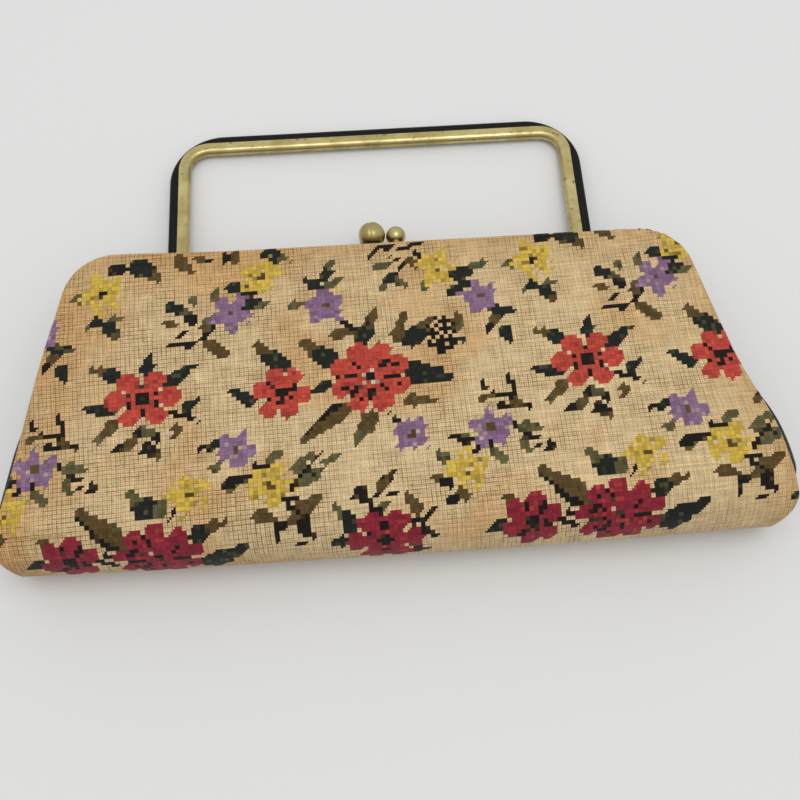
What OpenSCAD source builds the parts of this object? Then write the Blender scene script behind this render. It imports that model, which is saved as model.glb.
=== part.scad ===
// Tapestry clutch purse with a covered hinged frame, a ball clasp and a swinging bail handle.
// It lies on its back. X runs across the bag, Y from the bottom fold to the handle, Z through the bag.
// The origin is in the middle of the flat back.

/* [Bag] */
// Height of the bag, from the bottom fold to the rim
body_h = 140; // [130:1:165]
// Width across the rim, to where the sides would meet it without the corner curves
rim_w = 270; // [250:1:300]
// Width across the bottom, to where the sides would meet it without the corner curves
base_w = 333; // [315:1:365]
// Thickness of the closed bag at the rim
rim_t = 26; // [25:0.5:32]
// Thickness of the bag at its round bottom fold
base_t = 38; // [36:1:46]
// Radius of the two upper corners
rim_r = 24; // [20:1:30]
// Radius of the two lower corners
base_r = 12.5; // [12:0.5:20]

/* [Cloth and board] */
// Thickness of the tapestry
tapestry_t = 1.6; // [1.2:0.1:2]
// Height of the wool stitches above the tapestry's ground
stitch_t = 0.3; // [0.2:0.1:0.6]
// Thickness of the stiffening boards
board_t = 1.2; // [0.8:0.1:1.6]
// Thickness of the lining
lining_t = 0.8; // [0.6:0.1:1.2]
// Thickness of the side gussets
gusset_t = 1.2; // [0.8:0.1:1.5]
// Distance of the back seam above the middle of the bottom fold
seam_up = 6; // [2:1:12]
// Room between two layers that lie on each other
layer_gap = 0.2; // [0.1:0.05:0.3]
// Height of the crease where the bottom fold starts, above the front
crease_h = 0.05; // [0.03:0.01:0.1]

/* [Frame] */
// Width of each frame half's channel, in from the rim
bar_w = 9; // [8:0.5:11]
// Thickness of each frame half's channel
bar_t = 4; // [3.6:0.1:5]
// Thickness of the channel's sheet metal
bar_wall = 1; // [0.7:0.1:1.1]
// Depth to which the lining is tucked into the channel
tuck = 4; // [2:0.5:5]
// Distance of the hinge below the rim
hinge_drop = 50; // [44:1:60]
// Radius of the round end of each hinge ear
ear_r = 4.5; // [4:0.1:5.5]
// Thickness of each hinge ear
ear_t = 2; // [1.5:0.1:2.4]
// Room between the two ears of a hinge
ear_gap = 0.3; // [0.2:0.1:0.5]

/* [Rivets] */
// Radius of a rivet's shank
rivet_r = 1.5; // [1.2:0.1:2]
// Radius of a rivet's head
head_r = 2.7; // [2.4:0.1:3.2]
// Height of a rivet's head
head_h = 0.9; // [0.6:0.1:1.2]
// Room between a rivet and its hole
rivet_gap = 0.05; // [0.03:0.01:0.1]

/* [Clasp] */
// Diameter of the front half's ball
ball_d = 9.2; // [8:0.2:11]
// Diameter of the back half's ball
knob_d = 7.4; // [6.4:0.2:9]
// Room between the two balls as they pass
ball_gap = 0.7; // [0.4:0.1:1.2]
// Height of the front half's ball above the rim, to its centre
ball_rise = 8.8; // [7:0.2:12]
// Height of the back half's ball above the rim, to its centre
knob_rise = 10.2; // [8:0.2:13]
// Distance by which each ball leans past the middle of the bag
ball_lean = 1; // [0:0.2:2]
// Diameter of the front half's stem at its foot
stem_d = 4; // [3:0.2:5]
// Diameter of the front half's stem at its ball
stem_top_d = 3; // [2:0.2:4]
// Diameter of the back half's post
post_d = 4.6; // [4:0.2:5.4]
// Width by which the post's round cap stands out from it
post_cap = 0.2; // [0.1:0.1:0.6]
// Length of the neck that carries the back half's ball beside its post
neck_l = 5.5; // [5:0.1:6.5]
// Diameter of that neck
neck_d = 3; // [2.4:0.2:3.6]
// Width of the clasp foot on the frame
foot_w = 12; // [10:1:16]
// Thickness of the clasp foot
foot_t = 1; // [0.8:0.1:1.4]

/* [Handle] */
// Width across the outside of the handle
handle_w = 199; // [180:1:215]
// Height of the handle above the rim
handle_rise = 72; // [60:1:96]
// Thickness of the handle through the bag
handle_t = 5.2; // [5:0.1:6.6]
// Width of the covering that is the outer side of the handle
cover_w = 4.5; // [4:0.1:5.5]
// Width of the brass channel that is the inner side of the handle
brass_w = 5.4; // [5.2:0.1:7]
// Thickness of the brass channel's walls
brass_wall = 1.2; // [0.9:0.1:1.4]
// Depth by which the flat sides of channel and covering are set in from their round sides
wall_in = 0.05; // [0.03:0.01:0.1]
// Radius of the handle's two inner corners
inner_r = 9; // [7:0.5:12]
// Radius of the handle's two outer corners, where the covering is drawn thin
outer_r = 26; // [23:1:28]
// Distance of the handle's pivots below the rim
pivot_drop = 0.5; // [0:0.1:1.5]
// Room between the handle's legs and the frame
handle_gap = 0.5; // [0.4:0.1:0.8]
// Room between a leg and the cheeks of its bracket
cheek_gap = 0.3; // [0.2:0.1:0.5]
// Thickness of the bracket's sheet metal
bracket_t = 1.2; // [1:0.1:1.6]
// Metal left round a pivot rivet's head on the bracket's cheek
cheek_edge = 0.7; // [0.4:0.1:1]
// Room between the covering's tongue and the groove that holds it
inlay_gap = 0.1; // [0.05:0.05:0.2]
// Height of the tongue above the groove, inside the covering
tongue_lap = 0.75; // [0.4:0.05:1.2]
// Height by which the eye at a leg's foot stands out from the leg
eye_rise = 0.2; // [0.1:0.1:0.4]
// Length of the bare leg between its bracket and the covering
bare_leg = 0.6; // [0.4:0.1:3]
// Length of the bracket's plate on each side of the leg
plate_side = 7; // [5:0.5:10]

/* [Tapestry pattern] */
// Distance between one repeat of the pattern and the next
repeat_w = 188; // [170:1:210]
// Slope of the pattern across the bag, in degrees
pattern_turn = 2; // [0:0.5:4]
// Margin without stitches along the edge of the front
pattern_margin = 3; // [1:0.5:8]

/* [Hidden] */
$fn = 64;
far = base_w + handle_w;
// What is cut away reaches past the material by this much
past = 1;

// Levels of the bag in Y, and the centre of the round bottom fold
rim_y = body_h / 2;
base_y = -body_h / 2;
fold_r = base_t / 2;
fold_y = base_y + fold_r;
seam_y = fold_y + seam_up;

// Slope of the sides, seen from the front
side_rise = (base_w - rim_w) / 2 / body_h;
side_a = atan(side_rise);
function side_x(y, inset = 0) = rim_w / 2 + (rim_y - y) * side_rise - inset / cos(side_a);

// The front is a plane from the rim's edge that meets the bottom fold at a low crease
front_r = fold_r - crease_h;
fold_far = norm([rim_y - fold_y, rim_t - fold_r]);
front_a = asin(front_r / fold_far) - atan((rim_t - fold_r) / (rim_y - fold_y));
crease_a = front_a + acos(front_r / fold_r) * 3 / 4;
function front_z(y, depth = 0) = rim_t + (rim_y - y) * tan(front_a) - depth / cos(front_a);

// Depths of the layers below the outer face
bar_in = tapestry_t + layer_gap;
half_t = bar_in + bar_t;
board_in = bar_in;
lining_in = board_in + board_t + layer_gap;
bar_end = bar_in + bar_w;
inside_edge = bar_end + layer_gap;
bar_low_y = rim_y - bar_end;

// Hinge axis, and the place of the two ears in X
hinge_y = rim_y - hinge_drop;
hinge_z = front_z(hinge_y) / 2;
arm_end_y = hinge_y - ear_r;
front_ear_x = side_x(arm_end_y, bar_end) + head_h;
back_ear_x = front_ear_x + ear_t + ear_gap;

// Clasp: from left to right the back half's post, its ball and the front half's ball
clasp_w = neck_l + knob_d / 2 + ball_gap + ball_d / 2;
post_x = -clasp_w / 2;
ball_x = clasp_w / 2;
mid_z = rim_t / 2;

// Handle: its own plane has X across and V up from the pivots
bulge = handle_t / 2;
handle_len = handle_rise + pivot_drop;
pivot_y = rim_y - pivot_drop;
eye_r = bulge + eye_rise;
cheek_r = head_r + cheek_edge;
pivot_z = half_t + handle_gap + max(eye_r, cheek_r);
handle_lie = asin((pivot_z - bulge) / (handle_len - bulge));
leg_out = handle_w / 2 - cover_w;
leg_in = leg_out - brass_w;
brass_r = inner_r + brass_w;
groove_d = brass_w - bulge;
bend_r = outer_r - bulge;
inlay_foot = max(eye_r, cheek_r) + bare_leg;
plate_top_y = pivot_y - eye_r - cheek_gap;

CANVAS = "#d9bf8a";
RED = "#c8463c";
CRIMSON = "#9c2238";
VIOLET = "#8c6a91";
YELLOW = "#d7b946";
LEAF = "#2a3329";
BRASS = "#b8a468";
VINYL = "#1c1d20";
SATIN = "#c9b28c";
BOARD = "#a08a68";

// Front view of the bag: a trapezoid with round corners, inset on the sides
module outline(inset, y0, y1, r0, r1) {
    x1 = side_x(y1 - r1, inset + r1);
    x0 = side_x(y0 + r0, inset + r0);
    dx = [cos(side_a), sin(side_a)];
    right = [[x0, y0], [x0, y0 + r0] + r0 * dx, [x1, y1 - r1] + r1 * dx, [x1, y1]];
    left = [for (i = [3:-1:0]) [-right[i].x, right[i].y]];
    polygon(concat(right, left));
    for (s = [-1, 1]) {
        translate([s * x0, y0 + r0]) circle(r0);
        translate([s * x1, y1 - r1]) circle(r1);
    }
}

// The outline reaches a little past the bottom fold, which makes the bottom edge itself
module bag_outline(inset) {
    outline(inset, base_y - past + inset, rim_y - inset, base_r - inset, rim_r - inset);
}

// Outline of what lies inside the frame's channel
module inside_outline(y0, y1, inset = inside_edge) {
    outline(inset, y0, y1, max(base_r - inset, layer_gap), rim_r - inset);
}

module through(shape_h = far) {
    translate([0, 0, -shape_h / 2]) linear_extrude(shape_h) children();
}

// Side profiles are drawn in Y and Z and run across the bag
module across(x0 = -far / 2, x1 = far / 2) {
    translate([x0, 0, 0]) rotate([90, 0, 90]) linear_extrude(x1 - x0) children();
}

// Point where the front meets the fold, at a depth below the outer face
function fold_point(depth) = [fold_y, fold_r] + (front_r - depth) * [sin(front_a), cos(front_a)];

// Side view of the bag at a depth below its outer face, up to y1, in two parts
module flat_profile(depth, y1) {
    polygon([[fold_y, depth], [y1, depth], [y1, front_z(y1, depth)], fold_point(depth), [fold_y, fold_r]]);
}

module fold_profile(depth) {
    translate([fold_y, fold_r]) circle(fold_r - depth);
}

// What of the children lies inside the bag, at a depth below its outer face and between two levels
module within(depth, y0, y1) {
    intersection() {
        children();
        across() intersection() {
            flat_profile(depth, y1 + far);
            translate([y0, 0]) square([y1 - y0, base_t]);
        }
    }
    intersection() {
        children();
        across() fold_profile(depth);
    }
}

// A sheet on the front, and the same sheet round the bottom fold
module front_sheet(depth, t, y1) {
    polygon([fold_point(depth + t), [y1, front_z(y1, depth + t)],
             [y1, front_z(y1, depth)], fold_point(depth)]);
}

module fold_sheet(depth, t) {
    translate([fold_y, fold_r]) difference() {
        circle(fold_r - depth);
        circle(fold_r - depth - t);
        polygon([[0, 0], far * [sin(crease_a), cos(crease_a)], [far, far], [far, -far], [0, -far]]);
    }
}

// A layer parallel to the front, between two depths below it
module front_layer(depth0, depth1, y0, y1) {
    polygon([[y0, front_z(y0, depth1)], [y1, front_z(y1, depth1)],
             [y1, front_z(y1, depth0)], [y0, front_z(y0, depth0)]]);
}

module back_layer(depth0, depth1, y0, y1) {
    translate([y0, depth0]) square([y1 - y0, depth1 - depth0]);
}

// The tapestry of one half turns over the rim and over the frame's arms
module rim_turn() {
    intersection() {
        through() difference() {
            bag_outline(0);
            bag_outline(tapestry_t);
        }
        across() children();
    }
}

// Each child is a side profile, cut to the bag's outline
module panel() {
    for (i = [0:$children - 1]) intersection() {
        through() bag_outline(0);
        across() children(i);
    }
}

// The front piece runs on round the bottom fold to a seam on the back
module front_cover() {
    color(CANVAS) {
        panel() {
            front_sheet(0, tapestry_t, rim_y);
            fold_sheet(0, tapestry_t);
            back_layer(0, tapestry_t, fold_y, seam_y);
        }
        rim_turn() front_layer(tapestry_t / 2, half_t, arm_end_y, rim_y);
    }
}

module back_cover() {
    color(CANVAS) {
        panel() back_layer(0, tapestry_t, seam_y, rim_y);
        rim_turn() back_layer(tapestry_t / 2, half_t, arm_end_y, rim_y);
    }
}

// Pattern: flower shapes are [x, y, radius, petals] in one repeat, in the front's own plane from its middle
RED_FLOWERS = [[-7, 4, 17, 8], [-45, 0, 11, 6], [84, 6, 13, 7]];
CRIMSON_FLOWERS = [[91, -57, 16, 8], [54, -60, 11, 6], [-6, -61, 12, 7]];
VIOLET_FLOWERS = [[-69, 40, 8, 5], [-27, 41, 8, 5], [41, 40, 7, 5], [-65, -23, 8, 5],
                  [8, -23, 7, 5], [40, -24, 9, 6]];
YELLOW_FLOWERS = [[66, 54, 8, 5], [-54, 54, 7, 5], [24, 53, 8, 5], [-84, -42, 7, 5],
                  [-52, -44, 9, 5], [28, -42, 8, 5]];
// Leaves are [x, y, length, direction], from their base
LEAVES = [[6, 16, 22, 65], [-20, 14, 26, 140], [9, 8, 24, 20], [8, -4, 22, -12], [-18, -8, 24, 215],
          [-4, -13, 20, 280], [-52, 8, 16, 120], [-52, -6, 16, 235], [76, 14, 20, 120], [88, 18, 18, 70],
          [96, 8, 20, 10], [88, -6, 18, 300], [76, -4, 18, 215], [104, -48, 24, 30], [78, -46, 26, 140],
          [48, -52, 18, 130], [-2, -50, 20, 75], [-10, -50, 18, 110], [-20, -62, 16, 180], [6, -60, 16, 0],
          [-76, 36, 18, 200], [-72, 46, 14, 100], [-34, 38, 16, 215], [-20, 48, 14, 60], [48, 38, 18, 330],
          [34, 44, 14, 150], [72, 50, 14, 320], [60, 52, 14, 190], [-72, -20, 16, 150], [-58, -28, 16, 320],
          [48, -22, 18, 20], [30, -26, 18, 190], [-44, -42, 18, 30], [-60, -48, 16, 220], [20, -44, 16, 190],
          [36, -46, 16, 330], [-92, -38, 16, 130], [16, 56, 14, 130], [60, -30, 18, 20], [-88, 52, 16, 250]];

// Shares of a flower's radius that its petals and its heart take, and of a leaf's length that its arcs take
petal_share = 0.72;
heart_share = 0.55;
leaf_curve = 0.75;

module flower(r, petals) {
    petal_r = r * sin(180 / petals) * petal_share;
    circle(r * heart_share);
    for (i = [0:petals - 1]) rotate(360 / petals * i) translate([r - petal_r, 0]) circle(petal_r);
}

// A leaf is the lens between two arcs
module leaf(length) {
    r = length * leaf_curve;
    off = sqrt(r * r - length * length / 4);
    intersection() {
        translate([length / 2, off]) circle(r);
        translate([length / 2, -off]) circle(r);
    }
}

// All the repeats that show on the front
module repeats() {
    rotate(pattern_turn) for (k = [-1:1]) translate([k * repeat_w, 0]) children();
}

module on_front() {
    through() intersection() {
        children();
        bag_outline(pattern_margin);
    }
}

// Point just above the crease, on the front's face or above it
function crease_point(rise) = [fold_y, fold_r] + layer_gap * [cos(front_a), -sin(front_a)]
    + (front_r + rise) / cos(crease_a - front_a) * [sin(crease_a), cos(crease_a)];

// Shapes seen from the front are worked on its outer face and round the upper half of the fold
module stitched() {
    intersection() {
        on_front() children();
        across() polygon([crease_point(0), [rim_y, front_z(rim_y)], [rim_y, front_z(rim_y, -stitch_t)],
                          crease_point(stitch_t)]);
    }
    intersection() {
        on_front() children();
        across() intersection() {
            fold_sheet(-stitch_t, stitch_t);
            translate([base_y - past, fold_r]) square([base_t, base_t]);
        }
    }
}

module flowers(places) {
    for (p = places) translate([p[0], p[1]]) flower(p[2], p[3]);
}

module red_stitches() {
    color(RED) stitched() repeats() flowers(RED_FLOWERS);
}

module crimson_stitches() {
    color(CRIMSON) stitched() repeats() flowers(CRIMSON_FLOWERS);
}

module violet_stitches() {
    color(VIOLET) stitched() repeats() flowers(VIOLET_FLOWERS);
}

module yellow_stitches() {
    color(YELLOW) stitched() difference() {
        repeats() flowers(YELLOW_FLOWERS);
        repeats() flowers(concat(RED_FLOWERS, CRIMSON_FLOWERS, VIOLET_FLOWERS));
    }
}

module leaf_stitches() {
    color(LEAF) stitched() difference() {
        repeats() for (p = LEAVES) translate([p[0], p[1]]) rotate(p[3]) leaf(p[2]);
        repeats() flowers(concat(RED_FLOWERS, CRIMSON_FLOWERS, VIOLET_FLOWERS, YELLOW_FLOWERS));
    }
}

// Stiffening boards lie between the tapestry and the lining, inside the frame
module board_edge() {
    through() inside_outline(fold_y + tapestry_t, bar_low_y - layer_gap);
}

module front_board() {
    color(BOARD) intersection() {
        board_edge();
        across() front_layer(board_in, board_in + board_t, base_y, rim_y);
    }
}

module back_board() {
    color(BOARD) intersection() {
        board_edge();
        across() back_layer(board_in, board_in + board_t, base_y, rim_y);
    }
}

// The lining is a bag whose mouth is tucked into the frame's channels, with its sides open above the hinge
module lining() {
    lining_top = bar_low_y + tuck;
    color(SATIN) {
        intersection() {
            through() inside_outline(base_y, lining_top);
            across() {
                front_sheet(lining_in, lining_t, lining_top);
                fold_sheet(lining_in, lining_t);
                back_layer(lining_in, lining_in + lining_t, fold_y, lining_top);
            }
        }
        within(lining_in, fold_y, arm_end_y) through() difference() {
            inside_outline(base_y, lining_top);
            inside_outline(base_y - past, lining_top + past, inside_edge + lining_t);
        }
    }
}

// Each gusset closes a side below the hinge and follows the lower corner to the bottom fold
module gusset(side) {
    color(VINYL) within(bar_in, fold_y, arm_end_y - layer_gap) intersection() {
        through() difference() {
            bag_outline(layer_gap);
            bag_outline(layer_gap + gusset_t);
        }
        translate([side > 0 ? 0 : -far, -far / 2, -far / 2]) cube(far);
    }
}

module gusset_left() {
    gusset(-1);
}

module gusset_right() {
    gusset(1);
}

// A frame half is a channel of folded sheet, open to the inside of the bag, round the rim and down both arms
module channel() {
    difference() {
        intersection() {
            through() difference() {
                bag_outline(bar_in);
                bag_outline(bar_end);
            }
            across() children(0);
        }
        intersection() {
            through() bag_outline(bar_in + bar_wall);
            across() children(1);
        }
    }
}

// An ear reaches from the channel's inner wall to the hinge axis
module ear(x, wall_z0, wall_z1) {
    for (s = [-1, 1]) across(s > 0 ? x : -x - ear_t, s > 0 ? x + ear_t : -x) {
        difference() {
            union() {
                translate([hinge_y, hinge_z]) circle(ear_r);
                polygon([[hinge_y - ear_r, hinge_z], [hinge_y - ear_r, wall_z0],
                         [hinge_y + ear_r, wall_z1], [hinge_y + ear_r, hinge_z]]);
            }
            translate([hinge_y, hinge_z]) circle(rivet_r + rivet_gap);
        }
    }
}

module frame_back() {
    wall_z = half_t - bar_wall;
    color(BRASS) {
        channel() {
            back_layer(bar_in, half_t, arm_end_y, rim_y);
            back_layer(bar_in + bar_wall, wall_z, arm_end_y - past, rim_y);
        }
        ear(back_ear_x, wall_z, wall_z);
    }
}

module frame_front() {
    wall = half_t - bar_wall;
    color(BRASS) {
        channel() {
            front_layer(bar_in, half_t, arm_end_y, rim_y);
            front_layer(bar_in + bar_wall, wall, arm_end_y - past, rim_y);
        }
        ear(front_ear_x, front_z(hinge_y - ear_r, wall), front_z(hinge_y + ear_r, wall));
    }
}

// A rivet lies along X, with a round head on the outside of what it joins
module rivet(x0, x1) {
    top_r = head_r - head_h / 2;
    translate([x0, 0, 0]) rotate([0, 90, 0]) cylinder(r = rivet_r, h = x1 - x0);
    translate([x0 - head_h, 0, 0]) rotate([0, 90, 0]) cylinder(r1 = top_r, r2 = head_r, h = head_h);
    translate([x1, 0, 0]) rotate([0, 90, 0]) cylinder(r1 = head_r, r2 = top_r, h = head_h);
}

module hinge_rivet() {
    translate([0, hinge_y, hinge_z]) rivet(front_ear_x - rivet_gap, back_ear_x + ear_t + rivet_gap);
}

module hinge_rivet_right() {
    color(BRASS) hinge_rivet();
}

module hinge_rivet_left() {
    color(BRASS) mirror([1, 0, 0]) hinge_rivet();
}

// A round rod between two points that differ in Y and Z
module rod(from, to, d0, d1) {
    step = to - from;
    translate(from) rotate([-atan2(step.y, step.z), 0, 0]) cylinder(d1 = d0, d2 = d1, h = norm(step));
}

// Foot of a clasp half on its channel's inner wall, and the stem or post from there to a point above the rim
module clasp_stem(top, foot_z, foot_side, d0, d1) {
    stem_y = bar_low_y + bar_w / 2;
    rod([top.x, stem_y, foot_z + foot_side * d0 / 2], top, d0, d1);
    intersection() {
        across(top.x - foot_w / 2, top.x + foot_w / 2) children();
        through() translate([top.x - foot_w / 2, bar_low_y]) square([foot_w, bar_w - tapestry_t]);
    }
}

// The back half's ball sits beside its post, on a neck
module clasp_back() {
    top = [post_x, rim_y + knob_rise, mid_z + ball_lean];
    color(BRASS) {
        clasp_stem(top, half_t, 1, post_d, post_d) back_layer(half_t, half_t + foot_t, base_y, rim_y);
        translate(top) sphere(d = post_d + post_cap);
        translate(top) rotate([0, 90, 0]) cylinder(d = neck_d, h = neck_l);
        translate(top + [neck_l, 0, 0]) sphere(d = knob_d);
    }
}

module clasp_front() {
    top = [ball_x, rim_y + ball_rise, mid_z - ball_lean];
    color(BRASS) {
        clasp_stem(top, front_z(bar_low_y + bar_w / 2, half_t), -1, stem_d, stem_top_d)
            front_layer(half_t, half_t + foot_t, base_y, rim_y);
        translate(top) sphere(d = ball_d);
    }
}

// Outline of the handle's loop in its own plane, open downwards at the foot
module loop(half_w, top, r, foot) {
    polygon([[-half_w, foot], [half_w, foot], [half_w, top - r], [half_w - r, top],
             [r - half_w, top], [-half_w, top - r]]);
    for (s = [-1, 1]) translate([s * (half_w - r), top - r]) circle(r);
}

module brass_loop(inset, foot) {
    loop(leg_out - inset, handle_len - cover_w - inset, brass_r - inset, foot);
}

// The handle leans back from its pivots until its top bar lies on the ground
module on_pivots() {
    translate([0, pivot_y, pivot_z]) rotate([-handle_lie, 0, 0]) children();
}

module slab(t) {
    translate([0, 0, -t / 2]) linear_extrude(t) children();
}

// A round bar along a loop: two legs, two bends and the top
module round_loop(half_w, top, bend, foot) {
    for (s = [-1, 1]) {
        translate([s * half_w, foot, 0]) rotate([-90, 0, 0]) cylinder(r = bulge, h = top - bend - foot);
        translate([s * (half_w - bend), top - bend, 0]) rotate(s > 0 ? 0 : 90)
            rotate_extrude(angle = 90) translate([bend, 0]) circle(bulge);
    }
    translate([bend - half_w, top, 0]) rotate([0, 90, 0]) cylinder(r = bulge, h = 2 * (half_w - bend));
}

// Brass channel: round on the inside, open to the outside, with an eye at the foot of each leg
module handle_channel() {
    color(BRASS) on_pivots() difference() {
        union() {
            slab(handle_t - 2 * wall_in) difference() {
                brass_loop(0, 0);
                brass_loop(groove_d, -past);
            }
            round_loop(leg_in + bulge, handle_len - cover_w - groove_d, inner_r + bulge, 0);
            for (s = [-1, 1]) translate([s * (leg_in + brass_w / 2) - brass_w / 2, 0, 0])
                rotate([0, 90, 0]) cylinder(r = eye_r, h = brass_w);
        }
        slab(handle_t - 2 * brass_wall) difference() {
            brass_loop(-past, inlay_foot);
            brass_loop(groove_d, 0);
        }
        for (s = [-1, 1]) translate([s * (leg_in + brass_w / 2) - brass_w, 0, 0])
            rotate([0, 90, 0]) cylinder(r = rivet_r + rivet_gap, h = 2 * brass_w);
    }
}

// Covering: round on the outside, flat up to the channel, with a tongue that fills the channel's groove
module handle_inlay() {
    bead_x = handle_w / 2 - bulge;
    bead_top = handle_len - bulge;
    color(VINYL) on_pivots() {
        difference() {
            union() {
                round_loop(bead_x, bead_top, bend_r, inlay_foot);
                slab(handle_t - 2 * wall_in) loop(bead_x, bead_top, bend_r, inlay_foot);
            }
            slab(2 * handle_t) brass_loop(-rivet_gap, 0);
        }
        slab(handle_t - 2 * brass_wall - 2 * inlay_gap) difference() {
            brass_loop(-tongue_lap, inlay_foot + inlay_gap);
            brass_loop(groove_d - inlay_gap, 0);
        }
    }
}

// Bracket on the back frame half: a plate below the leg's eye and a cheek on each side of it
module bracket() {
    cheeks = [leg_in - cheek_gap - bracket_t, leg_out + cheek_gap];
    width = cheeks[1] - cheeks[0] + bracket_t;
    difference() {
        union() {
            translate([cheeks[0] - plate_side, bar_low_y, half_t])
                cube([width + 2 * plate_side, plate_top_y - bar_low_y, bracket_t]);
            for (x = cheeks) across(x, x + bracket_t) {
                translate([pivot_y, pivot_z]) circle(cheek_r);
                polygon([[bar_low_y, half_t], [plate_top_y, half_t], [pivot_y + cheek_r, pivot_z],
                         [pivot_y - cheek_r, pivot_z]]);
            }
        }
        translate([cheeks[0] - past, pivot_y, pivot_z]) rotate([0, 90, 0])
            cylinder(r = rivet_r + rivet_gap, h = width + 2 * past);
    }
}

module handle_bracket_right() {
    color(BRASS) bracket();
}

module handle_bracket_left() {
    color(BRASS) mirror([1, 0, 0]) bracket();
}

module handle_rivet() {
    reach = cheek_gap + bracket_t + rivet_gap;
    translate([0, pivot_y, pivot_z]) rivet(leg_in - reach, leg_out + reach);
}

module handle_rivet_right() {
    color(BRASS) handle_rivet();
}

module handle_rivet_left() {
    color(BRASS) mirror([1, 0, 0]) handle_rivet();
}

front_cover();
back_cover();
red_stitches();
crimson_stitches();
violet_stitches();
yellow_stitches();
leaf_stitches();
front_board();
back_board();
lining();
gusset_left();
gusset_right();
frame_back();
frame_front();
hinge_rivet_left();
hinge_rivet_right();
clasp_back();
clasp_front();
handle_channel();
handle_inlay();
handle_bracket_left();
handle_bracket_right();
handle_rivet_left();
handle_rivet_right();
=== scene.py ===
import math

import bmesh
import bpy
from mathutils import Matrix, Vector, noise
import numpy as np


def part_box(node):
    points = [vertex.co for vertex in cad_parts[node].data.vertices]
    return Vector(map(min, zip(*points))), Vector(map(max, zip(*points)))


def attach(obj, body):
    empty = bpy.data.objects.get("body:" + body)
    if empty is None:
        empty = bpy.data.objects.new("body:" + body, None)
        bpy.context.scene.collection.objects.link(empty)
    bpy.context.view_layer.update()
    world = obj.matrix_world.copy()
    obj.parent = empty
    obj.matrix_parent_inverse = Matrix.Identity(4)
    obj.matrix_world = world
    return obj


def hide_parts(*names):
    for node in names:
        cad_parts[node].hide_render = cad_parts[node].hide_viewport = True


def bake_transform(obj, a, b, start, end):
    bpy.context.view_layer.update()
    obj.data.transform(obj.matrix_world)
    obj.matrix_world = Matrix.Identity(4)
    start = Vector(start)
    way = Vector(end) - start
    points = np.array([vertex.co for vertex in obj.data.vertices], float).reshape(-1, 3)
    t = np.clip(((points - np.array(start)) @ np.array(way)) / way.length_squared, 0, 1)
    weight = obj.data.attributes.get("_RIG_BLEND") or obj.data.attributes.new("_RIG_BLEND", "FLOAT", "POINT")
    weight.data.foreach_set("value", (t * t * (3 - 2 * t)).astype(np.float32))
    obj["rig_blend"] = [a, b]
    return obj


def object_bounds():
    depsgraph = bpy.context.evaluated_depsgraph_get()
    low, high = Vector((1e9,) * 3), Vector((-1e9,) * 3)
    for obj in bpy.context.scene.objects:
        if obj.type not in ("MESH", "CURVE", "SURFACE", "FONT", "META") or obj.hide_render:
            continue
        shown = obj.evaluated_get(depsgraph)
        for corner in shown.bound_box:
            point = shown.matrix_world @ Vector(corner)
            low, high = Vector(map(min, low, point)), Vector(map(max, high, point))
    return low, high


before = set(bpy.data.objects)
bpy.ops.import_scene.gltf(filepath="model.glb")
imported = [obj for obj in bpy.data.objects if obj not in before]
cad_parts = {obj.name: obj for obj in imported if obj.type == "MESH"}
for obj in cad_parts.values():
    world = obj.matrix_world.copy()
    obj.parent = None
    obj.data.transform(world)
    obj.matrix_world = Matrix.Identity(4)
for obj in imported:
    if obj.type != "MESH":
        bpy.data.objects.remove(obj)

cad_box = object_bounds()

# View
# The bag is seen from above its lower edge, with the camera looking steeply down and held a little askew.
CAMERA_AT = Vector((-0.0048, -0.1295, 0.4375))
LOOK_DOWN = math.radians(73.18)
LOOK_TURN = math.radians(4.08)
LOOK_ROLL = math.radians(0.557)
LENS = 45
SENSOR = 36

ahead = Vector((math.cos(LOOK_DOWN) * math.sin(LOOK_TURN), math.cos(LOOK_DOWN) * math.cos(LOOK_TURN),
                -math.sin(LOOK_DOWN)))
level = Vector((math.cos(LOOK_TURN), -math.sin(LOOK_TURN), 0))
above = level.cross(ahead)
right = math.cos(LOOK_ROLL) * level + math.sin(LOOK_ROLL) * above
up = math.cos(LOOK_ROLL) * above - math.sin(LOOK_ROLL) * level
camera = bpy.data.objects.new("camera", bpy.data.cameras.new("camera"))
camera.data.lens = LENS
camera.data.sensor_width = SENSOR
camera.matrix_world = Matrix.Translation(CAMERA_AT) @ Matrix((right, up, -ahead)).transposed().to_4x4()
bpy.context.scene.collection.objects.link(camera)
bpy.context.scene.camera = camera
bpy.context.scene.view_settings.view_transform = "Standard"

# Floor and light
# A pale, matt floor for the stage, under soft and even light that is a little stronger from the far side.
FLOOR_SIZE = 4.0
FLOOR_GREY = "#e2e2e1"
FLOOR_GAP = 0.0002
SKY_HIGH = "#ffffff"
SKY_LOW = "#a8aaab"
SKY_WAY = (0.1, 0.5, 0.86)
SKY_FROM = -0.3
SKY_TO = 0.9
SKY_LEVEL = 0.9
LAMP_AT = Vector((0.15, 0.05, 1.7))
LAMP_SIZE = 0.9
LAMP_WATTS = 7.5


def hex_linear(code):
    """A colour written as sRGB hex, as linear values for a socket."""
    parts = [int(code[i:i + 2], 16) / 255 for i in (1, 3, 5)]
    return [c / 12.92 if c <= 0.04045 else ((c + 0.055) / 1.055) ** 2.4 for c in parts] + [1.0]


def add_node(tree, kind, links=(), **settings):
    """A node of one kind: inputs by name or number in links, sockets or plain values, then its settings."""
    node = tree.nodes.new(kind)
    for name, value in settings.items():
        setattr(node, name, value)
    for socket, value in dict(links).items():
        if isinstance(value, bpy.types.NodeSocket):
            tree.links.new(value, node.inputs[socket])
        else:
            node.inputs[socket].default_value = value
    return node


def new_material(name):
    """A material with a bare shader, and its tree."""
    material = bpy.data.materials.new(name)
    material.use_nodes = True
    tree = material.node_tree
    return material, tree, tree.nodes["Principled BSDF"]


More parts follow.
